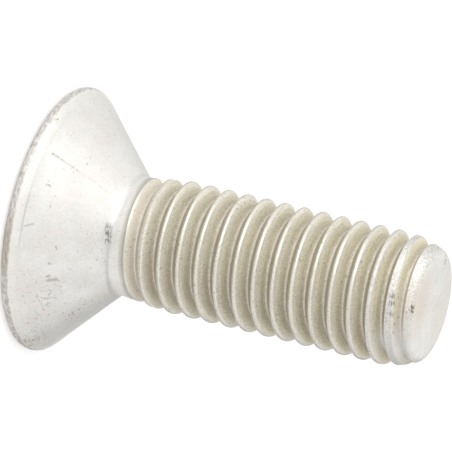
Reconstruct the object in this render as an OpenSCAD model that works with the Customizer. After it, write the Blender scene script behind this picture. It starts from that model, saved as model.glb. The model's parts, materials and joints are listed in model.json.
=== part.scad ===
// Countersunk machine screw with a hexagon socket, forged and thread-rolled as one piece of steel.
// It stands on its flat head: the origin is the middle of that face, and the thread rises along +Z.

/* [Head] */
// Diameter over the straight rim
head_d = 20; // [18:0.5:24]
// Height of the straight rim, from the flat face to the start of the cone
rim_h = 0.6; // [0.4:0.05:1]
// Rounding of the rim where it meets the flat face
rim_round = 0.3; // [0.1:0.05:0.4]
// Full angle of the countersink
cone_angle = 90; // [80:1:100]
// Radius of the fillet where the cone runs into the neck
neck_fillet = 0.8; // [0.6:0.1:1.5]

/* [Socket] */
// Width of the hexagon socket across its flats
socket_af = 6; // [4:0.5:7]
// Depth of the socket's flat walls
socket_depth = 3.6; // [2.5:0.1:4]
// Depth of the drilled cone below the socket's walls
socket_cone_h = 0.8; // [0.3:0.1:1]

/* [Shank] */
// Overall length, from the flat face to the end of the point
length = 30; // [25:0.5:45]
// Step from the crests in to the neck, which kept the size of the blank before rolling
neck_step = 0.43; // [0.3:0.01:0.6]
// Step from the crests in to the edge of the flat end
end_step = 1.3; // [1:0.1:2]
// Radius of the arc that leads from the crests towards the flat end
point_round = 7; // [5:0.5:12]
// Rounding of the edge of the flat end
end_round = 0.7; // [0.3:0.1:0.9]

/* [Thread] */
// Diameter over the crests
crest_d = 9.85; // [9.5:0.05:10]
// Distance from one turn to the next, right-handed
pitch = 1.5; // [1.25:0.25:1.75]
// Width of the flat on each crest
crest_w = 0.22; // [0.16:0.02:0.4]
// Width of the flat at the bottom of the groove
root_w = 0.3; // [0.2:0.02:0.4]
// Angle between the two flanks of the groove
flank_angle = 60; // [58:1:65]
// Length in which the crests grow from the neck to their full height
crest_growth = 3.6; // [2:0.2:6]
// Length of plain neck from the fillet to the middle of the groove's start
plain_neck = 0.45; // [0.3:0.05:1.5]
// Angle from X, round the screw, at which the groove starts
start_angle = 216; // [0:6:354]
// Number of turns in which the groove fades out towards the head
fade_turns = 0.4; // [0.2:0.1:1.5]

/* [Hidden] */
$fn = 96;
// Straight pieces in each rounded edge and in each turn of the groove
arc_steps = 6;
turn_steps = 36;

rim_r = head_d / 2;
crest_r = crest_d / 2;
neck_r = crest_r - neck_step;
end_r = crest_r - end_step;
half_cone = cone_angle / 2;

// The fillet's centre lies outside the metal, one radius from both the cone and the neck
fillet_r = neck_r + neck_fillet;
fillet_z = rim_h + (neck_fillet + (rim_r - fillet_r) * cos(half_cone)) / sin(half_cone);
thread_z = fillet_z + crest_growth;

// The arc of the point leaves the crests at point_z and turns by end_angle before the edge's rounding
point_turn_r = point_round - end_round;
end_angle = acos((end_r - crest_r + point_round) / point_turn_r);
point_z = length - end_round - point_turn_r * sin(end_angle);

// The groove is cut a little past the crests, still narrower than one pitch
flank_run = tan(flank_angle / 2);
groove_depth = (pitch - crest_w - root_w) / 2 / flank_run;
root_r = crest_r - groove_depth;
cutter_over = crest_w / 4 / flank_run;
cutter_r = crest_r + cutter_over;
cutter_half_w = root_w / 2 + (groove_depth + cutter_over) * flank_run;

// Distances that keep a cut from ending level with a face, and its start off the metal
cut_over = 1;
cut_clear = 0.05;

// The groove starts on the neck, just off the metal, and leaves through the flat end
groove_start = fillet_z + plain_neck;
start_r = neck_r + neck_step * (plain_neck + root_w / 2) / crest_growth + cut_clear;
fade_lift = start_r - root_r;
groove_turns = (length + pitch - groove_start) / pitch;
groove_stations = ceil(groove_turns * turn_steps);

socket_r = socket_af / 2 / cos(30);

function arc(center, r, from, to) =
    [for (i = [0 : arc_steps])
        let (a = from + (to - from) * i / arc_steps)
        center + r * [cos(a), sin(a)]];

// Half section of the blank, from the middle of the flat face out over the rim and up to the end
function blank_outline() = concat(
    [[0, 0]],
    arc([rim_r - rim_round, rim_round], rim_round, -90, 0),
    [[rim_r, rim_h]],
    arc([fillet_r, fillet_z], neck_fillet, 180 + half_cone, 180),
    [[crest_r, thread_z]],
    arc([crest_r - point_round, point_z], point_round, 0, end_angle),
    arc([end_r, length - end_round], end_round, end_angle, 90),
    [[0, length]]);

// Half section of the groove: its two bottom corners, then its two outer corners
groove_section = [
    [root_r, -root_w / 2], [root_r, root_w / 2],
    [cutter_r, cutter_half_w], [cutter_r, -cutter_half_w]];

// Part of the fade that is still ahead after a number of turns: 1 at the start, 0 at full depth
function fade(turn) = max(0, 1 - turn / fade_turns);

function groove_points() =
    [for (i = [0 : groove_stations], corner = groove_section)
        let (turn = i / turn_steps, r = corner[0] + fade_lift * fade(turn), a = start_angle + 360 * turn)
        [r * cos(a), r * sin(a), groove_start + turn * pitch + corner[1]]];

function groove_faces() =
    let (n = len(groove_section), last = groove_stations * n)
    concat(
        [[for (k = [0 : n - 1]) k]],
        [for (i = [0 : groove_stations - 1], k = [0 : n - 1])
            let (a = i * n + k, b = i * n + (k + 1) % n)
            each [[a, a + n, b + n], [a, b + n, b]]],
        [[for (k = [n - 1 : -1 : 0]) last + k]]);

module blank() {
    rotate_extrude() polygon(blank_outline());
}

module socket() {
    translate([0, 0, -cut_over])
        cylinder(r = socket_r, h = socket_depth + cut_over, $fn = 6);
    translate([0, 0, socket_depth])
        cylinder(r1 = socket_af / 2, r2 = 0, h = socket_cone_h);
}

module thread_groove() {
    polyhedron(points = groove_points(), faces = groove_faces(), convexity = 10);
}

module screw() {
    color([0.86, 0.85, 0.81]) difference() {
        blank();
        socket();
        thread_groove();
    }
}

screw();
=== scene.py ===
# A countersunk screw with a hexagon socket, one piece of pale steel, standing on its flat head.
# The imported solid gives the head's diameter, the length and the crests. Lengths below are in
# millimetres, and the finished mesh is scaled to metres.
import json
import math

import bmesh
import bpy
from mathutils import Matrix, Vector, noise


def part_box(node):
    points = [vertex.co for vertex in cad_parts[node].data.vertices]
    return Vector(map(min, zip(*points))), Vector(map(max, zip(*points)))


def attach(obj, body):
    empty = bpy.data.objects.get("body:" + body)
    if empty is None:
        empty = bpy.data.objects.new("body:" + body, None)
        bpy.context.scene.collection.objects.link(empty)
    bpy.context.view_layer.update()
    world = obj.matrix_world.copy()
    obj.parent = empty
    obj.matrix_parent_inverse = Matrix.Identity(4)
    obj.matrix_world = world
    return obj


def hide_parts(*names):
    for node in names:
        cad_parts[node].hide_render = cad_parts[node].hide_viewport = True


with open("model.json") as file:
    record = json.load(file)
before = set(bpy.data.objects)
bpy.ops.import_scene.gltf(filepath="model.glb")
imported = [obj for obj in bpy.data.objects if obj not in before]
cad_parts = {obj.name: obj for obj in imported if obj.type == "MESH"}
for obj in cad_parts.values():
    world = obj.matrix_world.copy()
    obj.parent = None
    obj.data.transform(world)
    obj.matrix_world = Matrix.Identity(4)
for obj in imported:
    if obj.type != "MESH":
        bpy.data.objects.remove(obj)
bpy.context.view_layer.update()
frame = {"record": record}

# Shank: the blank before its thread is rolled, with a fillet under the head, crests that grow out of
# the neck over a few turns, and a rounded point. Forged from wire, so every edge of it is soft.
mm = 0.001
low, high = (Vector(corner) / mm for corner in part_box("screw"))
thread_mount = next(m for m in frame["record"]["mounts"] if m["name"] == "thread")
length = high.z - low.z
rim_r = (high.x - low.x) / 2
rim_h = 0.6
crest_r = thread_mount["dims"]["r_mm"]
neck_step = 0.43
neck_r = crest_r - neck_step
neck_fillet = 0.8
fillet_r = neck_r + neck_fillet
fillet_z = rim_h + neck_fillet * math.sqrt(2) + rim_r - fillet_r
fillet_low = fillet_z - neck_fillet * math.sin(math.radians(45))
crest_growth = 3.6
thread_z = fillet_z + crest_growth
end_step = 1.3
end_r = crest_r - end_step
end_round = 0.7
point_round = 7
point_angle = math.acos((end_r - crest_r + point_round) / (point_round - end_round))
point_z = length - end_round - (point_round - end_round) * math.sin(point_angle)
point_top = point_z + point_round * math.sin(point_angle)


def blank_radius(z):
    """Radius of the blank's outside at a height, from the cone up to the point."""
    if z < fillet_low:
        return rim_r + rim_h - z
    if z < fillet_z:
        return fillet_r - math.sqrt(neck_fillet ** 2 - (fillet_z - z) ** 2)
    if z < thread_z:
        return neck_r + (crest_r - neck_r) * (z - fillet_z) / crest_growth
    if z < point_z:
        return crest_r
    if z < point_top:
        return crest_r - point_round + math.sqrt(point_round ** 2 - (z - point_z) ** 2)
    return end_r + math.sqrt(max(0, end_round ** 2 - (z - length + end_round) ** 2))


# Thread: rolled into the blank between dies, right-handed, with 60 degree flanks, a rounded bottom and
# soft crest edges. The first crests didn't quite fill, so the metal that rose from both sides meets in
# a fine seam along their middle. One pitch of the section is drawn, repeated up the shank and spun.
pitch = 1.5
crest_w = 0.22
root_w = 0.3
flank_run = math.tan(math.radians(30))
root_r = crest_r - (pitch - crest_w - root_w) / 2 / flank_run
groove_depth = crest_r - root_r
groove_start = fillet_z - 0.41
thread_low = fillet_z + 0.3
start_turn = 0.6
fade_turns = 0.4
start_clear = 0.15
fade_lift = neck_r + start_clear - root_r
lip_up = 0.76
lip_end_z = 9.2
lip_fill = 1.5
run_out_from = math.radians(210)
run_out_over = math.radians(120)
valley_depth = 0.05
valley_from_lip = -0.12
valley_wide = 0.16
turn_steps = 144
seam_depth = 0.03
seam_wide = 0.02
seam_end_z = 13.5
seam_fade = 3
crest_wobble = 0.03
nicks = [(78.6, 17.55, 0.22, 0.07), (114.2, 22.47, 0.3, 0.06), (120.2, 9.85, 0.2, 0.06),
         (119.5, 28.6, 0.4, 0.04)]
flank_section = [
    (0.06, root_r + 0.004), (0.12, root_r + 0.02), (0.18, root_r + 0.07),
    (0.26, root_r + 0.11 / flank_run), (0.36, root_r + 0.21 / flank_run),
    (0.46, root_r + 0.31 / flank_run), (0.54, root_r + 0.39 / flank_run),
    (0.59, crest_r - 0.088), (0.63, crest_r - 0.04), (0.67, crest_r - 0.012), (0.71, crest_r)]
section = [(-x, r) for x, r in reversed(flank_section)] + [(0, root_r)] + flank_section
section.append((pitch / 2, crest_r))

# The spin climbs one pitch in its turn, so its end falls on the next turn up, and the doubles are merged
bm = bmesh.new()
last = None
for turn in range(-3, math.ceil((length - groove_start) / pitch) + 2):
    for x, r in section:
        vert = bm.verts.new((r, 0, groove_start + turn * pitch + x))
        if last:
            bm.edges.new((last, vert))
        last = vert
bmesh.ops.spin(bm, geom=bm.verts[:] + bm.edges[:], axis=(0, 0, 1), cent=(0, 0, 0), angle=2 * math.pi,
               dvec=(0, 0, pitch / turn_steps), steps=turn_steps)
bmesh.ops.remove_doubles(bm, verts=bm.verts, dist=0.001)

# The material reads the groove's depth from 0 to 1, the way along it, across it and past the first lip, and
# the place within one pitch as a direction, which has no jump on the crest
groove_layer = bm.verts.layers.float.new("groove")
way_layer = bm.verts.layers.float_vector.new("thread_way")
turn_layer = bm.verts.layers.float_vector.new("thread_turn")
for vert in bm.verts:
    angle = math.atan2(vert.co.y, vert.co.x) % (2 * math.pi)
    z = vert.co.z
    turns_up = (z - groove_start) / pitch - angle / 2 / math.pi
    nth = round(turns_up)
    across = (turns_up - nth) * pitch
    turn = nth + angle / 2 / math.pi
    outside = blank_radius(z)
    rolled = math.hypot(vert.co.x, vert.co.y)
    if across < 0:
        unfilled = max(0, min(1, (lip_end_z - z) / lip_fill))
        shallow = outside - (crest_r - rolled) * (outside - root_r) / groove_depth
        rolled += (shallow - rolled) * unfilled
    r = rolled + fade_lift * max(0, 1 - (turn - start_turn) / fade_turns)
    if turn < start_turn:
        r = outside
    run_out = max(0, min(1, (angle - run_out_from) / run_out_over))
    past_lip = z - groove_start - lip_up - pitch * (angle / 2 / math.pi - run_out)
    vert[groove_layer] = max(0, min(1, (outside - r) / groove_depth))
    vert[turn_layer] = (math.cos(2 * math.pi * turns_up), math.sin(2 * math.pi * turns_up), 0)
    vert[way_layer] = (turn * 2 * math.pi * root_r, across, past_lip)
    r = min(r, outside) - valley_depth * math.exp(-((past_lip - valley_from_lip) / valley_wide) ** 2)
    if abs(across) > pitch / 2 - seam_wide:
        r -= seam_depth * max(0, min(1, (seam_end_z - z) / seam_fade)) * max(0, min(1, z - fillet_z))
    for nick_angle, nick_z, nick_size, nick_depth in nicks:
        off = math.hypot((angle - math.radians(nick_angle)) * r, z - nick_z)
        r -= nick_depth * math.exp(-(off / nick_size) ** 2)
    uneven = noise.noise((turn * 11, across, 0.5)) + 0.6 * noise.noise((turn * 27, across, 3.5))
    vert.co.x = r * math.cos(angle)
    vert.co.y = r * math.sin(angle)
    if thread_low < z < point_z:
        vert.co.z = z + crest_wobble * uneven * (1 - vert[groove_layer])


# Point: the last turns run out over a rounded end, which closes in a small flat face. Its edge was
# rounded before the thread was rolled, so that the screw finds its nut.
def cut_level(z, keep_above):
    """Cuts the shank off level at a height, trues the cut to a circle and returns its edges."""
    bmesh.ops.bisect_plane(bm, geom=bm.verts[:] + bm.edges[:] + bm.faces[:], dist=1e-5,
                           plane_co=(0, 0, z), plane_no=(0, 0, 1),
                           clear_inner=keep_above, clear_outer=not keep_above)
    bmesh.ops.remove_doubles(bm, verts=[v for v in bm.verts if abs(v.co.z - z) < 0.01], dist=0.01)
    edges = [e for e in bm.edges if e.is_boundary and all(abs(v.co.z - z) < 0.01 for v in e.verts)]
    for vert in {v for e in edges for v in e.verts}:
        flat = Vector((vert.co.x, vert.co.y)).normalized() * blank_radius(z)
        vert.co = (flat.x, flat.y, z)
    return edges


def carry_on(ring, put):
    """Extrudes a ring of edges to where put(angle) has it, as a radius and a height."""
    made = bmesh.ops.extrude_edge_only(bm, edges=ring)["geom"]
    verts = {g for g in made if isinstance(g, bmesh.types.BMVert)}
    for vert in verts:
        angle = math.atan2(vert.co.y, vert.co.x)
        r, z = put(angle)
        vert.co = (r * math.cos(angle), r * math.sin(angle), z)
    return [g for g in made if isinstance(g, bmesh.types.BMEdge) and set(g.verts) <= verts]


def close_ring(ring, z):
    """Draws a ring together to one point on the axis."""
    ring = carry_on(ring, lambda angle: (0.05, z))
    bmesh.ops.pointmerge(bm, verts=list({v for e in ring for v in e.verts}), merge_co=(0, 0, z))


point_cut = length - 0.25
ring = cut_level(point_cut, keep_above=False)
edge_angle = math.asin((point_cut - length + end_round) / end_round)
for k in range(1, 7):
    turned = edge_angle + (math.pi / 2 - edge_angle) * k / 6
    r, z = end_r + end_round * math.cos(turned), length - end_round + end_round * math.sin(turned)
    ring = carry_on(ring, lambda angle: (r, z))
for r in (2.8, 1.9, 1.0):
    ring = carry_on(ring, lambda angle: (r, length))
close_ring(ring, length)

# Head: forged in a die as a plain 90 degree cone with a short rim, rounded off at the flat face and more
# along it than up the rim. The die's edge left a fine step round the cone, a little in from the rim.
rim_round_in = 0.7
rim_round_up = 0.4
rim_soft = 0.12
step_z = 1.22
step_in = 0.02
ring = cut_level(fillet_low, keep_above=True)
for z in (5.2, 4.5, 3.8, 3.1, 2.4, 1.8, step_z + 0.05):
    ring = carry_on(ring, lambda angle: (rim_r + rim_h - z - step_in, z))
for z in (step_z, 1.0, rim_h + rim_soft):
    ring = carry_on(ring, lambda angle: (rim_r + rim_h - z, z))
ring = carry_on(ring, lambda angle: (rim_r - 0.03, rim_h + 0.01))
ring = carry_on(ring, lambda angle: (rim_r, rim_h - rim_soft))
for k in range(7):
    turned = math.pi / 2 * k / 6
    r, z = rim_r - rim_round_in * (1 - math.cos(turned)), rim_round_up * (1 - math.sin(turned))
    ring = carry_on(ring, lambda angle: (r, z))
for r in (8.6, 7.2, 5.8, 4.6):
    ring = carry_on(ring, lambda angle: (r, 0))

# Socket: a hexagon punched into the flat face for a 6 mm key, over a drilled cone, with a lead-in
# round its mouth. Two of its corners lie on the X axis.
socket_half = 3
socket_depth = 3.6
socket_cone = 0.8
lead_r = 3.62
lead_slope = math.tan(math.radians(30))


def hexagon_r(angle):
    """Distance from the axis to the hexagon's wall at an angle."""
    return socket_half / math.cos(math.radians((math.degrees(angle) % 60) - 30))


ring = carry_on(ring, lambda angle: (lead_r, 0))
ring = carry_on(ring, lambda angle: (hexagon_r(angle), (lead_r - hexagon_r(angle)) * lead_slope))
for z in (1.5, 2.6, socket_depth):
    ring = carry_on(ring, lambda angle: (hexagon_r(angle), z))
ring = carry_on(ring, lambda angle: (socket_half - 0.1, socket_depth))
ring = carry_on(ring, lambda angle: (1.4, socket_depth + socket_cone * 0.52))
close_ring(ring, socket_depth + socket_cone)

bmesh.ops.remove_doubles(bm, verts=bm.verts, dist=0.001)
bmesh.ops.recalc_face_normals(bm, faces=bm.faces)
bmesh.ops.scale(bm, vec=(mm, mm, mm), verts=bm.verts)
for face in bm.faces:
    face.smooth = True
for edge in bm.edges:
    edge.smooth = edge.calc_face_angle(0) < math.radians(38)
mesh = bpy.data.meshes.new("screw_steel")
bm.to_mesh(mesh)
bm.free()
screw = bpy.data.objects.new("screw_steel", mesh)
bpy.context.collection.objects.link(screw)
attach(screw, "root")
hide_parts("screw")


# Pickled steel: forged and rolled steel, descaled to a pale satin. The bare head is bright and a little
# blotchy, with pits and handling marks. The thread keeps a dull olive film on its flanks, thinner on the
# crests, rubbed off round the point and glossier along the bottom of the groove, where its pale line is a
# painted highlight.
def colour(code):
    """An sRGB hex value as linear red, green, blue and alpha."""
    parts = [int(code[k:k + 2], 16) / 255 for k in (1, 3, 5)]
    return [p / 12.92 if p <= 0.04045 else ((p + 0.055) / 1.055) ** 2.4 for p in parts] + [1]


def add(tree, kind, inputs=None, **settings):
    """Adds a node with its settings. An input is a value, or another node's output to link from."""
    node = tree.nodes.new(kind)
    for name, value in settings.items():
        setattr(node, name, value)
    for socket, value in (inputs or {}).items():
        if isinstance(value, bpy.types.NodeSocket):
            tree.links.new(value, node.inputs[socket])
        else:
            node.inputs[socket].default_value = value
    return node


steel = bpy.data.materials.new("pickled_steel")
steel.use_nodes = True
tree = steel.node_tree
tree.nodes.clear()
coords = add(tree, "ShaderNodeTexCoord")
place = add(tree, "ShaderNodeVectorMath", {0: coords.outputs["Object"], "Scale": 1 / mm},
            operation="SCALE")
spot_on = add(tree, "ShaderNodeSeparateXYZ", {0: place.outputs[0]})
facing_up = add(tree, "ShaderNodeSeparateXYZ", {0: coords.outputs["Normal"]})
groove = add(tree, "ShaderNodeAttribute", attribute_name="groove")
way = add(tree, "ShaderNodeAttribute", attribute_name="thread_way")
lip_way = add(tree, "ShaderNodeSeparateXYZ", {0: way.outputs["Vector"]})

# Bare metal: soft clouds a few millimetres wide, a warm and a cool blush, and grit that is coarsest on the
# point, where one side was rubbed clean. The real grit is finer than the render can show, so it is drawn an
# eighth of a millimetre wide
cloud_mm = 2.4
cloud = add(tree, "ShaderNodeTexNoise", {"Vector": place.outputs[0], "Scale": 1 / cloud_mm, "Detail": 5,
                                         "Roughness": 0.6})
cloud_part = add(tree, "ShaderNodeMapRange", {0: cloud.outputs["Fac"], 1: 0.35, 2: 0.68})
bare = add(tree, "ShaderNodeMix", {0: cloud_part.outputs[0], 6: colour("#F1F0ED"), 7: colour("#E8E5E2")},
           data_type="RGBA")
blush_mm = 4.5
blush = add(tree, "ShaderNodeTexNoise", {"Vector": place.outputs[0], "Scale": 1 / blush_mm, "Detail": 2})
blush_part = add(tree, "ShaderNodeMapRange", {0: blush.outputs["Fac"], 1: 0.5, 2: 0.75, 4: 0.6})
bare = add(tree, "ShaderNodeMix", {0: blush_part.outputs[0], 6: bare.outputs[2], 7: colour("#ECE3DF")},
           data_type="RGBA")
warm_away = add(tree, "ShaderNodeVectorMath", {0: place.outputs[0], 1: (-1.4, 2.6, length)},
                operation="DISTANCE")
warm_part = add(tree, "ShaderNodeMapRange", {0: warm_away.outputs["Value"], 1: 2.8, 2: 0.8, 4: 0.65})
bare = add(tree, "ShaderNodeMix", {0: warm_part.outputs[0], 6: bare.outputs[2], 7: colour("#E4D8CB")},
           data_type="RGBA")
cool_mm = 0.9
cool = add(tree, "ShaderNodeTexNoise", {"Vector": place.outputs[0], "Scale": 1 / cool_mm, "Detail": 3})
cool_part = add(tree, "ShaderNodeMapRange", {0: cool.outputs["Fac"], 1: 0.48, 2: 0.7, 4: 0.6})
bare = add(tree, "ShaderNodeMix", {0: cool_part.outputs[0], 6: bare.outputs[2], 7: colour("#E6E8E1")},
           data_type="RGBA")
grit_mm = 0.13
grit = add(tree, "ShaderNodeTexNoise", {"Vector": place.outputs[0], "Scale": 1 / grit_mm, "Detail": 2,
                                        "Roughness": 0.7})
grit_share = add(tree, "ShaderNodeMapRange",
                 {0: spot_on.outputs["Z"], 1: point_z - 4, 2: point_z, 3: 0.22, 4: 0.75})
grit_part = add(tree, "ShaderNodeMapRange", {0: grit.outputs["Fac"], 1: 0.43, 2: 0.68})
end_flat = add(tree, "ShaderNodeMapRange", {0: facing_up.outputs["Z"], 1: 0.85, 2: 0.98, 3: 1, 4: 0.35})
grit_share = add(tree, "ShaderNodeMath", {0: grit_share.outputs[0], 1: end_flat.outputs[0]},
                 operation="MULTIPLY")
side_away = add(tree, "ShaderNodeVectorMath", {0: place.outputs[0], 1: (-4.1, 0.9, 29)},
                operation="DISTANCE")
side_clean = add(tree, "ShaderNodeMapRange", {0: side_away.outputs["Value"], 1: 3, 2: 1.2, 3: 1, 4: 0.4})
grit_share = add(tree, "ShaderNodeMath", {0: grit_share.outputs[0], 1: side_clean.outputs[0]},
                 operation="MULTIPLY")
grit_part = add(tree, "ShaderNodeMath", {0: grit_part.outputs[0], 1: grit_share.outputs[0]},
                operation="MULTIPLY")
bare = add(tree, "ShaderNodeMix", {0: grit_part.outputs[0], 6: bare.outputs[2], 7: colour("#BAB5AA")},
           data_type="RGBA")

# Rim: rough from the trimming die, streaked along its length, brown on one side and greyest at its outer
# edge, with a creamy band inside it that fades up the cone
rim_streak_mm = (0.5, 0.16)
bearing_round = add(tree, "ShaderNodeMath", {0: spot_on.outputs["Y"], 1: spot_on.outputs["X"]},
                    operation="ARCTAN2")
rim_round_at = add(tree, "ShaderNodeMath", {0: bearing_round.outputs[0], 1: rim_r / rim_streak_mm[0]},
                   operation="MULTIPLY")
rim_up_at = add(tree, "ShaderNodeMath", {0: spot_on.outputs["Z"], 1: 1 / rim_streak_mm[1]},
                operation="MULTIPLY")
rim_place = add(tree, "ShaderNodeCombineXYZ", {0: rim_round_at.outputs[0], 1: rim_up_at.outputs[0]})
rim_grain = add(tree, "ShaderNodeTexNoise", {"Vector": rim_place.outputs[0], "Scale": 1, "Detail": 3,
                                             "Roughness": 0.6})
rim_dark = add(tree, "ShaderNodeMapRange", {0: rim_grain.outputs["Fac"], 1: 0.4, 2: 0.62})
rim_skin = add(tree, "ShaderNodeMix",
               {0: rim_dark.outputs[0], 6: colour("#E2DFDC"), 7: colour("#BFBAB5")},
               data_type="RGBA")
brown_away = add(tree, "ShaderNodeVectorMath", {0: place.outputs[0], 1: (-6.6, 7.4, 0.4)},
                 operation="DISTANCE")
brown_part = add(tree, "ShaderNodeMapRange", {0: brown_away.outputs["Value"], 1: 2.6, 2: 1.2, 4: 0.45})
rim_skin = add(tree, "ShaderNodeMix",
               {0: brown_part.outputs[0], 6: rim_skin.outputs[2], 7: colour("#AC9F8C")},
               data_type="RGBA")
rim_edge = add(tree, "ShaderNodeMapRange", {0: spot_on.outputs["Z"], 1: 0.35, 2: 0.08, 4: 0.3})
rim_skin = add(tree, "ShaderNodeMix",
               {0: rim_edge.outputs[0], 6: rim_skin.outputs[2], 7: colour("#A29D97")},
               data_type="RGBA")
band_part = add(tree, "ShaderNodeMapRange", {0: spot_on.outputs["Z"], 1: 1.25, 2: 0.7, 4: 0.4})
bare = add(tree, "ShaderNodeMix", {0: band_part.outputs[0], 6: bare.outputs[2], 7: colour("#F5F3EA")},
           data_type="RGBA")
rim_height = add(tree, "ShaderNodeMath", {0: rim_grain.outputs["Fac"], 1: -0.12, 2: spot_on.outputs["Z"]},
                 operation="MULTIPLY_ADD")
rim_part = add(tree, "ShaderNodeMapRange", {0: rim_height.outputs[0], 1: rim_h + 0.1, 2: rim_h - 0.02})
off_axis = add(tree, "ShaderNodeVectorMath", {0: place.outputs[0], 1: (1, 1, 0)}, operation="MULTIPLY")
off_axis = add(tree, "ShaderNodeVectorMath", {0: off_axis.outputs[0]}, operation="LENGTH")
rim_out = add(tree, "ShaderNodeMapRange", {0: off_axis.outputs["Value"], 1: rim_r - 0.8, 2: rim_r - 0.5})
rim_part = add(tree, "ShaderNodeMath", {0: rim_part.outputs[0], 1: rim_out.outputs[0]},
               operation="MULTIPLY")
bare = add(tree, "ShaderNodeMix", {0: rim_part.outputs[0], 6: bare.outputs[2], 7: rim_skin.outputs[2]},
           data_type="RGBA")

# Neck: painted shade greys the hollow before the first lip, which stays bright
valley_shade = add(tree, "ShaderNodeMapRange", {0: lip_way.outputs["Z"], 1: -0.42, 2: -0.05, 4: 0.85})
valley_shade_end = add(tree, "ShaderNodeMapRange", {0: lip_way.outputs["Z"], 1: 0.14, 2: 0.06})
valley_shade = add(tree, "ShaderNodeMath", {0: valley_shade.outputs[0], 1: valley_shade_end.outputs[0]},
                  operation="MULTIPLY")
bare = add(tree, "ShaderNodeMix", {0: valley_shade.outputs[0], 6: bare.outputs[2], 7: colour("#B9B6AA")},
           data_type="RGBA")
lip_part = add(tree, "ShaderNodeMapRange", {0: lip_way.outputs["Z"], 1: 0.1, 2: 0.14, 4: 0.7})
lip_end = add(tree, "ShaderNodeMapRange", {0: lip_way.outputs["Z"], 1: 2, 2: 1})
lip_part = add(tree, "ShaderNodeMath", {0: lip_part.outputs[0], 1: lip_end.outputs[0]},
               operation="MULTIPLY")
bare = add(tree, "ShaderNodeMix", {0: lip_part.outputs[0], 6: bare.outputs[2], 7: colour("#E6E2D2")},
           data_type="RGBA")

# Film on the thread: grainy and streaked along the groove, paler on its first turn and towards the point,
# cream where the crests wore it thin. Painted shade darkens it across the groove, most on the flank that
# looks back at the head, and a painted highlight draws a pale line along the bottom
grain_mm = 0.13
grain = add(tree, "ShaderNodeTexNoise", {"Vector": place.outputs[0], "Scale": 1 / grain_mm, "Detail": 2,
                                         "Roughness": 0.7})
streak_mm = (2.5, 0.09)
streak_place = add(tree, "ShaderNodeMapping",
                   {0: way.outputs["Vector"], 3: (1 / streak_mm[0], 1 / streak_mm[1], 0)})
streak = add(tree, "ShaderNodeTexNoise", {"Vector": streak_place.outputs[0], "Scale": 1, "Detail": 3})
mottle = add(tree, "ShaderNodeMath", {0: streak.outputs["Fac"], 1: 0.6, 2: grain.outputs["Fac"]},
             operation="MULTIPLY_ADD")
mottle_part = add(tree, "ShaderNodeMapRange", {0: mottle.outputs[0], 1: 0.58, 2: 1.02})
turn_at = add(tree, "ShaderNodeAttribute", attribute_name="thread_turn")
turn_parts = add(tree, "ShaderNodeSeparateXYZ", {0: turn_at.outputs["Vector"]})
turn_angle = add(tree, "ShaderNodeMath", {0: turn_parts.outputs["Y"], 1: turn_parts.outputs["X"]},
                 operation="ARCTAN2")
across_part = add(tree, "ShaderNodeMapRange", {0: turn_angle.outputs[0], 1: -math.pi, 2: math.pi})
crest_up = add(tree, "ShaderNodeMapRange", {0: across_part.outputs[0], 1: 0.985, 2: 1.0, 4: 0.5})
crest_on = add(tree, "ShaderNodeMapRange", {0: across_part.outputs[0], 1: 0, 2: 0.02, 3: 0.5, 4: 1})
crest_reach = add(tree, "ShaderNodeMath",
                  {0: mottle_part.outputs[0], 1: -0.05, 2: across_part.outputs[0]},
                  operation="MULTIPLY_ADD")
crest_off = add(tree, "ShaderNodeMapRange", {0: crest_reach.outputs[0], 1: 0.19, 2: 0.06})
crest_on = add(tree, "ShaderNodeMath", {0: crest_on.outputs[0], 1: crest_off.outputs[0]},
               operation="MULTIPLY")
worn_part = add(tree, "ShaderNodeMath", {0: crest_up.outputs[0], 1: crest_on.outputs[0]},
                operation="MAXIMUM")
crest_part = add(tree, "ShaderNodeMapRange", {0: groove.outputs["Fac"], 1: 0.18, 2: 0})
tan_mm = 0.7
tan_noise = add(tree, "ShaderNodeTexNoise",
                {"Vector": place.outputs[0], "Scale": 1 / tan_mm, "Detail": 4})
tan_part = add(tree, "ShaderNodeMapRange", {0: tan_noise.outputs["Fac"], 1: 0.35, 2: 0.65})
film = add(tree, "ShaderNodeMix", {0: tan_part.outputs[0], 6: colour("#F4F2DB"), 7: colour("#F7EEE0")},
           data_type="RGBA")
pale_part = add(tree, "ShaderNodeMapRange", {0: spot_on.outputs["Z"], 1: 14, 2: 27, 4: 0.6})
film = add(tree, "ShaderNodeMix", {0: pale_part.outputs[0], 6: film.outputs[2], 7: colour("#F9F2D9")},
           data_type="RGBA")
grain_tone = add(tree, "ShaderNodeMix",
                 {0: mottle_part.outputs[0], 6: colour("#DBD8D1"), 7: colour("#FFFFFF")},
                 data_type="RGBA")
film = add(tree, "ShaderNodeMix", {0: 1, 6: film.outputs[2], 7: grain_tone.outputs[2]}, data_type="RGBA",
           blend_type="MULTIPLY")
# Painted shade: the film's tone across one pitch, darker deep in the groove and darkest on the flank that
# looks back at the head
painted_groove_shade = add(tree, "ShaderNodeValToRGB", {0: across_part.outputs[0]})
painted_groove_shade.color_ramp.elements[0].color = colour("#FFFFFF")
for at, code in ((0.14, "#FFFFFF"), (0.2, "#F7F7F4"), (0.3, "#ECEBE6"), (0.4, "#D9D7D3"),
                 (0.5, "#DCD8D5"), (0.62, "#E2DCD8"), (0.68, "#C6C5C4"), (0.8, "#C6C5C4"),
                 (0.9, "#D4D3D1"), (0.97, "#E8E6E2")):
    painted_groove_shade.color_ramp.elements.new(at).color = colour(code)
film = add(tree, "ShaderNodeMix", {0: 1, 6: film.outputs[2], 7: painted_groove_shade.outputs[0]}, data_type="RGBA",
           blend_type="MULTIPLY")
first_part = add(tree, "ShaderNodeMapRange", {0: lip_way.outputs["Z"], 1: 2.4, 2: 0.4, 4: 0.5})
film = add(tree, "ShaderNodeMix", {0: first_part.outputs[0], 6: film.outputs[2], 7: colour("#F2E7DD")},
           data_type="RGBA")
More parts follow.
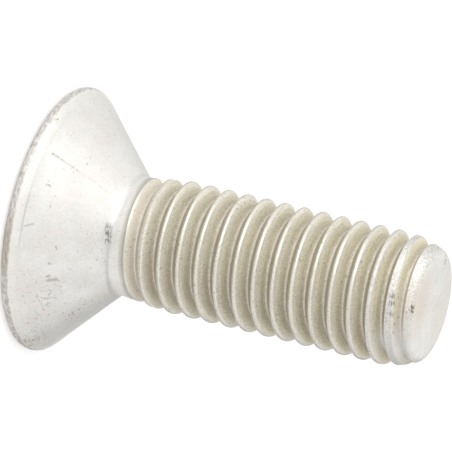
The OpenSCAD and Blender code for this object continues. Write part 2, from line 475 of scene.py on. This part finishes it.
# Painted highlight: a pale line along the bottom of the groove, where the film is also glossier
bottom_away = add(tree, "ShaderNodeMath", {0: across_part.outputs[0], 1: 0.54}, operation="SUBTRACT")
bottom_away = add(tree, "ShaderNodeMath", {0: bottom_away.outputs[0]}, operation="ABSOLUTE")
bottom_away = add(tree, "ShaderNodeMath",
                  {0: mottle_part.outputs[0], 1: -0.05, 2: bottom_away.outputs[0]},
                  operation="MULTIPLY_ADD")
bottom_highlight_and_gloss = add(tree, "ShaderNodeMapRange", {0: bottom_away.outputs[0], 1: 0.05, 2: 0, 4: 0.7})
film = add(tree, "ShaderNodeMix", {0: bottom_highlight_and_gloss.outputs[0], 6: film.outputs[2], 7: colour("#F2ECE4")},
           data_type="RGBA")
worn = add(tree, "ShaderNodeMix", {0: mottle_part.outputs[0], 6: colour("#DCD8CE"), 7: colour("#F8F5EC")},
           data_type="RGBA")
film = add(tree, "ShaderNodeMix", {0: worn_part.outputs[0], 6: film.outputs[2], 7: worn.outputs[2]},
           data_type="RGBA")
film_start = add(tree, "ShaderNodeMapRange", {0: lip_way.outputs["Z"], 1: 0.18, 2: 0.24})
point_wear = add(tree, "ShaderNodeMapRange",
                 {0: spot_on.outputs["Z"], 1: point_z - 2.5, 2: point_z + 0.4})
point_bare = add(tree, "ShaderNodeMath", {0: point_wear.outputs[0], 1: crest_part.outputs[0]},
                 operation="MULTIPLY")
end_height = add(tree, "ShaderNodeMath", {0: mottle_part.outputs[0], 1: 0.4, 2: spot_on.outputs["Z"]},
                 operation="MULTIPLY_ADD")
end_wear = add(tree, "ShaderNodeMapRange", {0: end_height.outputs[0], 1: 28.95, 2: 29.45, 4: 0.8})
rubbed = add(tree, "ShaderNodeMath", {0: point_bare.outputs[0], 1: end_wear.outputs[0]},
             operation="MAXIMUM")
side_wear = add(tree, "ShaderNodeMapRange", {0: side_away.outputs["Value"], 1: 2.4, 2: 1.1, 4: 0.85})
rubbed = add(tree, "ShaderNodeMath", {0: rubbed.outputs[0], 1: side_wear.outputs[0]}, operation="MAXIMUM")
film_part = add(tree, "ShaderNodeMath", {0: film_start.outputs[0], 1: rubbed.outputs[0]},
                operation="SUBTRACT", use_clamp=True)
skin = add(tree, "ShaderNodeMix", {0: film_part.outputs[0], 6: bare.outputs[2], 7: film.outputs[2]},
           data_type="RGBA")

# Pits: small specks all over, thickest on the dirtier side of the cone and in ragged clusters on it
ragged_mm = 0.3
ragged = add(tree, "ShaderNodeTexNoise",
             {"Vector": place.outputs[0], "Scale": 1 / ragged_mm, "Detail": 3})
shift = add(tree, "ShaderNodeVectorMath", {0: ragged.outputs["Color"], 1: (-0.5, -0.5, -0.5)},
            operation="ADD")
ragged_place = add(tree, "ShaderNodeVectorMath",
                   {0: shift.outputs[0], 1: (0.5, 0.5, 0.5), 2: place.outputs[0]},
                   operation="MULTIPLY_ADD")
pit_mm = 0.19
pit = add(tree, "ShaderNodeTexNoise", {"Vector": place.outputs[0], "Scale": 1 / pit_mm, "Detail": 1})
patch_mm = 2.2
patch = add(tree, "ShaderNodeTexNoise", {"Vector": place.outputs[0], "Scale": 1 / patch_mm, "Detail": 2})
pit_level = add(tree, "ShaderNodeMath", {0: patch.outputs["Fac"], 1: 0.3, 2: pit.outputs["Fac"]},
                operation="MULTIPLY_ADD")
thick = None
for spot, size, thickness in (
        ((-7, 0.5, 3), 6.5, 0.05), ((-6.4, -1.2, 4.1), 2.4, 0.14), ((-9.3, -1.5, 1), 2.8, 0.17),
        ((-3.3, 2.9, 6.1), 1.6, 0.05), ((3.3, 1, 30), 0.8, 0.2), ((-3.4, 3.2, 28.6), 1.6, 0.1),
        ((1.45, 6.91, 3.54), 0.3, 0.25), ((2.30, 6.88, 3.35), 0.3, 0.15),
        ((2.85, 8.33, 1.79), 0.25, 0.2), ((1.80, 5.96, 4.37), 0.3, 0.15),
        ((-1.63, 8.35, 2.09), 0.25, 0.15), ((-2.82, 7.61, 2.47), 0.2, 0.25),
        ((3.40, 9.18, 0.81), 0.4, 0.2), ((-6.73, 3.72, 2.91), 0.45, 0.25),
        ((-6.51, 3.11, 3.39), 0.4, 0.22), ((-7.85, 2.70, 2.29), 0.4, 0.22),
        ((-7.80, 2.11, 2.52), 0.45, 0.25), ((-7.76, 1.38, 2.72), 0.4, 0.2),
        ((-5.97, 4.69, 3.01), 0.5, 0.2), ((-5.05, 5.30, 3.28), 0.5, 0.18),
        ((-5.53, 3.39, 4.11), 0.3, 0.2), ((-5.15, 2.74, 4.76), 0.3, 0.18),
        ((-5.56, 1.12, 4.93), 0.3, 0.2)):
    away = add(tree, "ShaderNodeVectorMath", {0: ragged_place.outputs[0], 1: spot}, operation="DISTANCE")
    near = add(tree, "ShaderNodeMapRange",
               {0: away.outputs["Value"], 1: size, 2: size * 0.3, 4: thickness})
    if thick:
        near = add(tree, "ShaderNodeMath", {0: thick.outputs[0], 1: near.outputs[0]}, operation="MAXIMUM")
    thick = near
thick = add(tree, "ShaderNodeMath", {0: film_part.outputs[0], 1: 0.07, 2: thick.outputs[0]},
            operation="MULTIPLY_ADD")
pit_level = add(tree, "ShaderNodeMath", {0: pit_level.outputs[0], 1: thick.outputs[0]}, operation="ADD")
stain = add(tree, "ShaderNodeMapRange", {0: pit_level.outputs[0], 1: 0.85, 2: 1.0, 4: 0.45})

# Scuffs: broken strokes that run round the axis, on the point and in a smudge with a grey halo under the head
scuff_mm = (0.45, 0.08)
scuff_round = add(tree, "ShaderNodeMath", {0: bearing_round.outputs[0], 1: crest_r / scuff_mm[0]},
                  operation="MULTIPLY")
scuff_up = add(tree, "ShaderNodeMath", {0: spot_on.outputs["Z"], 1: 1 / scuff_mm[1]},
               operation="MULTIPLY")
scuff_place = add(tree, "ShaderNodeCombineXYZ", {0: scuff_round.outputs[0], 1: scuff_up.outputs[0]})
scuff = add(tree, "ShaderNodeTexNoise", {"Vector": scuff_place.outputs[0], "Scale": 1, "Detail": 2})
for spot, size, darkness in (
        ((-1.85, 4.32, 5.92), 0.55, 0.7), ((-2.28, 4.02, 6.02), 0.6, 0.8),
        ((-2.65, 3.72, 6.1), 0.5, 0.7), ((-1.95, 4.26, 28.45), 0.45, 0.6),
        ((-2.4, 3.98, 28.55), 0.5, 0.65), ((-3.0, 3.53, 28.63), 0.4, 0.5),
        ((-2.05, 3.46, 29.87), 0.32, 0.85), ((-2.3, 3.3, 29.88), 0.34, 0.9)):
    away = add(tree, "ShaderNodeVectorMath", {0: ragged_place.outputs[0], 1: spot}, operation="DISTANCE")
    near = add(tree, "ShaderNodeMapRange", {0: away.outputs["Value"], 1: size, 2: size * 0.2})
    level_here = add(tree, "ShaderNodeMath", {0: near.outputs[0], 1: 0.35, 2: scuff.outputs["Fac"]},
                     operation="MULTIPLY_ADD")
    dark = add(tree, "ShaderNodeMapRange", {0: level_here.outputs[0], 1: 0.62, 2: 0.85, 4: darkness})
    dark = add(tree, "ShaderNodeMath", {0: dark.outputs[0], 1: near.outputs[0]}, operation="MULTIPLY")
    stain = add(tree, "ShaderNodeMath", {0: stain.outputs[0], 1: dark.outputs[0]}, operation="MAXIMUM")
halo_away = add(tree, "ShaderNodeVectorMath", {0: ragged_place.outputs[0], 1: (-2.6, 3.75, 6.3)},
                operation="DISTANCE")
halo = add(tree, "ShaderNodeMapRange", {0: halo_away.outputs["Value"], 1: 1.3, 2: 0.3, 4: 0.12})
stain = add(tree, "ShaderNodeMath", {0: stain.outputs[0], 1: halo.outputs[0]}, operation="MAXIMUM")

# Scratches: a long broken one down the cone, three short ones, faint loops near the rim and the fine step
long_scratch = 0.8
broken = add(tree, "ShaderNodeMapRange", {0: ragged.outputs["Fac"], 1: 0.4, 2: 0.62, 3: 0.15, 4: 1})
for start, end, width, darkness in (
        ((0.61, 8.93, 1.65), (0.63, 8.29, 2.28), 0.16, 0.5),
        ((0.63, 8.29, 2.28), (0.55, 7.17, 3.40), 0.14, 0.32),
        ((0.55, 7.17, 3.40), (0.40, 5.32, 5.26), 0.14, 0.15),
        ((-4.99, 7.74, 1.39), (-4.58, 7.51, 1.8), 0.12, 0.3),
        ((-6.75, 3.00, 3.21), (-6.59, 2.44, 3.57), 0.12, 0.12),
        ((-6.84, 3.53, 2.9), (-6.48, 3.27, 3.34), 0.22, 0.4)):
    run = Vector(end) - Vector(start)
    reach = add(tree, "ShaderNodeVectorMath", {0: place.outputs[0], 1: start}, operation="SUBTRACT")
    along = add(tree, "ShaderNodeVectorMath", {0: reach.outputs[0], 1: run / run.length_squared},
                operation="DOT_PRODUCT")
    held = add(tree, "ShaderNodeMapRange", {0: along.outputs["Value"]})
    foot = add(tree, "ShaderNodeVectorMath", {0: run, "Scale": held.outputs[0]}, operation="SCALE")
    away = add(tree, "ShaderNodeVectorMath", {0: reach.outputs[0], 1: foot.outputs[0]},
               operation="DISTANCE")
    dark = add(tree, "ShaderNodeMapRange",
               {0: away.outputs["Value"], 1: width, 2: width * 0.2, 4: darkness})
    if run.length > long_scratch:
        dark = add(tree, "ShaderNodeMath", {0: dark.outputs[0], 1: broken.outputs[0]},
                   operation="MULTIPLY")
    stain = add(tree, "ShaderNodeMath", {0: stain.outputs[0], 1: dark.outputs[0]}, operation="MAXIMUM")
loop_mm = 0.8
loop = add(tree, "ShaderNodeTexNoise", {"Vector": place.outputs[0], "Scale": 1 / loop_mm, "Detail": 1})
loop_line = add(tree, "ShaderNodeMath", {0: loop.outputs["Fac"], 1: 0.5, 2: 0.026}, operation="COMPARE")
loop_away = add(tree, "ShaderNodeVectorMath", {0: place.outputs[0], 1: (-7.5, 2.1, 2.8)},
                operation="DISTANCE")
loop_near = add(tree, "ShaderNodeMapRange", {0: loop_away.outputs["Value"], 1: 1.3, 2: 0.6, 4: 0.25})
loop_dark = add(tree, "ShaderNodeMath", {0: loop_line.outputs[0], 1: loop_near.outputs[0]},
                operation="MULTIPLY")
stain = add(tree, "ShaderNodeMath", {0: stain.outputs[0], 1: loop_dark.outputs[0]}, operation="MAXIMUM")
step_line = add(tree, "ShaderNodeMath", {0: spot_on.outputs["Z"], 1: step_z, 2: 0.05},
                operation="COMPARE")
step_away = add(tree, "ShaderNodeVectorMath", {0: place.outputs[0], 1: (-4.4, 8.3, 1.2)},
                operation="DISTANCE")
step_near = add(tree, "ShaderNodeMapRange",
                {0: step_away.outputs["Value"], 1: 2.8, 2: 1, 3: 0.03, 4: 0.2})
step_dark = add(tree, "ShaderNodeMath", {0: step_line.outputs[0], 1: step_near.outputs[0]},
                operation="MULTIPLY")
stain = add(tree, "ShaderNodeMath", {0: stain.outputs[0], 1: step_dark.outputs[0]}, operation="MAXIMUM")
skin = add(tree, "ShaderNodeMix", {0: stain.outputs[0], 6: skin.outputs[2], 7: colour("#67625A")},
           data_type="RGBA")

# Gloss and relief: the bare metal is satin, roughest on the rim and point, the film is duller and hides most
# of the metal, and pits and grit are about a hundredth of a millimetre deep
pit_depth = 0.015
grain_depth = 0.012
bare_rough = add(tree, "ShaderNodeMapRange", {0: cloud.outputs["Fac"], 1: 0.3, 2: 0.7, 3: 0.4, 4: 0.52})
rolled_part = add(tree, "ShaderNodeMath", {0: worn_part.outputs[0], 1: bottom_highlight_and_gloss.outputs[0]},
                  operation="MAXIMUM")
film_rough = add(tree, "ShaderNodeMapRange", {0: rolled_part.outputs[0], 3: 0.5, 4: 0.34})
point_rough = add(tree, "ShaderNodeMapRange",
                  {0: spot_on.outputs["Z"], 1: point_z - 2, 2: point_z, 4: 0.15})
bare_rough = add(tree, "ShaderNodeMath", {0: bare_rough.outputs[0], 1: point_rough.outputs[0]},
                 operation="ADD")
rough = add(tree, "ShaderNodeMix",
            {0: film_part.outputs[0], 2: bare_rough.outputs[0], 3: film_rough.outputs[0]})
rough = add(tree, "ShaderNodeMix", {0: rim_part.outputs[0], 2: rough.outputs[0], 3: 0.6})
film_deep = add(tree, "ShaderNodeMath", {0: rolled_part.outputs[0], 1: 0.7}, operation="MULTIPLY")
film_deep = add(tree, "ShaderNodeMath", {0: film_part.outputs[0], 1: film_deep.outputs[0]},
                operation="SUBTRACT", use_clamp=True)
metal = add(tree, "ShaderNodeMapRange", {0: film_deep.outputs[0], 3: 1.0, 4: 0.2})
relief = add(tree, "ShaderNodeMath", {0: pit_level.outputs[0], 1: stain.outputs[0]}, operation="SUBTRACT")
pitted = add(tree, "ShaderNodeBump",
             {"Height": relief.outputs[0], "Strength": 0.4, "Distance": pit_depth * mm})
grit_high = add(tree, "ShaderNodeMath", {0: film_part.outputs[0], 1: grit_share.outputs[0]},
                operation="MAXIMUM")
bump = add(tree, "ShaderNodeBump", {"Height": grain.outputs["Fac"], "Strength": grit_high.outputs[0],
                                    "Distance": grain_depth * mm, "Normal": pitted.outputs[0]})
surface = add(tree, "ShaderNodeBsdfPrincipled",
              {"Base Color": skin.outputs[2], "Roughness": rough.outputs[0],
               "Metallic": metal.outputs[0], "Normal": bump.outputs[0]})
add(tree, "ShaderNodeOutputMaterial", {"Surface": surface.outputs[0]})
mesh.materials.append(steel)

# Camera: a long lens, a little above the floor and rolled, so that the standing screw lies across the
# picture with its point to the right, as it does in the photograph.
elevation = math.radians(20.374)
bearing = math.radians(116.16)
roll = math.radians(90 + 13.2416)
distance = 353.4
picture_px = 452
px_per_mm = 13.6495
aim_right, aim_up = -1.2014, 2.6106
sensor = 36
facing = Vector((math.cos(bearing), math.sin(bearing), 0))
towards = facing * math.cos(elevation) + Vector((0, 0, math.sin(elevation)))
level = Vector((-math.sin(bearing), math.cos(bearing), 0))
upright = towards.cross(level)
right = level * math.cos(roll) + upright * math.sin(roll)
up = upright * math.cos(roll) - level * math.sin(roll)
aim = Vector((0, 0, length / 2)) + right * aim_right + up * aim_up
camera_data = bpy.data.cameras.new("camera")
camera_data.sensor_width = sensor
camera_data.lens = px_per_mm * distance * sensor / picture_px
camera = bpy.data.objects.new("camera", camera_data)
turn_axes = Matrix((right, up, towards)).transposed()
camera.matrix_world = Matrix.Translation((aim + towards * distance) * mm) @ turn_axes.to_4x4()
bpy.context.collection.objects.link(camera)
bpy.context.scene.camera = camera

# Studio: a wide white floor, a hair below the head, and soft light from all round, stronger from the upper
# side of the picture. Seen, the floor is white and keeps the screw's shadow. Mirrored in the screw it is
# white in front and darkens away behind, as the screw's dim far edges in the photograph show.
floor_half = 1.5
floor_drop = 0.02
floor_bm = bmesh.new()
bmesh.ops.create_grid(floor_bm, x_segments=1, y_segments=1, size=floor_half,
                      matrix=Matrix.Translation((0, 0, -floor_drop * mm)))
floor_mesh = bpy.data.meshes.new("floor")
floor_bm.to_mesh(floor_mesh)
floor_bm.free()
floor = bpy.data.objects.new("floor", floor_mesh)
bpy.context.collection.objects.link(floor)
paper = bpy.data.materials.new("white_paper")
paper.use_nodes = True
tree = paper.node_tree
tree.nodes.clear()
light_path = add(tree, "ShaderNodeLightPath")
floor_at = add(tree, "ShaderNodeTexCoord")
far_off = add(tree, "ShaderNodeVectorMath", {0: floor_at.outputs["Object"], 1: facing / mm},
              operation="DOT_PRODUCT")
mirrored = add(tree, "ShaderNodeMapRange", {0: far_off.outputs["Value"], 1: -40, 2: 10, 3: 0.1})
mirrored = add(tree, "ShaderNodeMath", {0: mirrored.outputs[0], 1: light_path.outputs["Is Glossy Ray"]},
               operation="MULTIPLY")
seen = add(tree, "ShaderNodeMath", {0: light_path.outputs["Is Camera Ray"], 1: mirrored.outputs[0]},
           operation="MAXIMUM")
seen = add(tree, "ShaderNodeMath", {0: seen.outputs[0],
                                    1: light_path.outputs["Is Transmission Ray"]}, operation="MAXIMUM")
matt = add(tree, "ShaderNodeBsdfDiffuse", {"Color": colour("#BCBCBC")})
lift = add(tree, "ShaderNodeMath", {0: seen.outputs[0], 1: 0.56}, operation="MULTIPLY")
glow = add(tree, "ShaderNodeEmission", {"Color": colour("#FFFFFF"), "Strength": lift.outputs[0]})
both = add(tree, "ShaderNodeAddShader", {0: matt.outputs[0], 1: glow.outputs[0]})
add(tree, "ShaderNodeOutputMaterial", {"Surface": both.outputs[0]})
floor_mesh.materials.append(paper)

world = bpy.data.worlds.new("studio")
bpy.context.scene.world = world
world.use_nodes = True
tree = world.node_tree
tree.nodes.clear()
sky = add(tree, "ShaderNodeTexCoord")
height = add(tree, "ShaderNodeSeparateXYZ", {0: sky.outputs["Generated"]})
overhead = add(tree, "ShaderNodeMath", {0: height.outputs["Z"], 1: 0.0}, operation="MAXIMUM")
overhead_rise = add(tree, "ShaderNodeMapRange", {0: overhead.outputs[0], 2: 0.5})
overhead_rise = add(tree, "ShaderNodeMath", {0: overhead_rise.outputs[0], 1: 0.6}, operation="POWER")
lit_side = add(tree, "ShaderNodeVectorMath", {0: sky.outputs["Generated"], 1: -level},
               operation="DOT_PRODUCT")
lit_side = add(tree, "ShaderNodeMapRange", {0: lit_side.outputs["Value"], 1: -0.35, 2: 0.35, 3: -1})
side_share = add(tree, "ShaderNodeMapRange", {0: overhead.outputs[0], 2: 0.4, 3: 0.32, 4: 0.05})
tilt = add(tree, "ShaderNodeMath", {0: lit_side.outputs[0], 1: side_share.outputs[0]},
           operation="MULTIPLY")
dome_level = add(tree, "ShaderNodeMath", {0: overhead_rise.outputs[0], 1: 0.64, 2: 0.4},
                 operation="MULTIPLY_ADD")
dome_level = add(tree, "ShaderNodeMath", {0: dome_level.outputs[0], 1: tilt.outputs[0]}, operation="ADD")
dome = add(tree, "ShaderNodeBackground", {"Color": colour("#FFFFFF"), "Strength": dome_level.outputs[0]})
add(tree, "ShaderNodeOutputWorld", {"Surface": dome.outputs[0]})

lamp_out = right * 110 + up * 200 + towards * 220
lamp_at = Vector((0, 0, 12)) + lamp_out
lamp_turn = lamp_out.to_track_quat("Z", "Y").to_matrix().to_4x4()
lamp_data = bpy.data.lights.new("lamp_side", "AREA")
lamp_data.shape = "DISK"
lamp_data.size = 300 * mm
lamp_data.energy = 0.3
lamp = bpy.data.objects.new("lamp_side", lamp_data)
lamp.matrix_world = Matrix.Translation(lamp_at * mm) @ lamp_turn
bpy.context.collection.objects.link(lamp)

bpy.context.scene.view_settings.view_transform = "Standard"
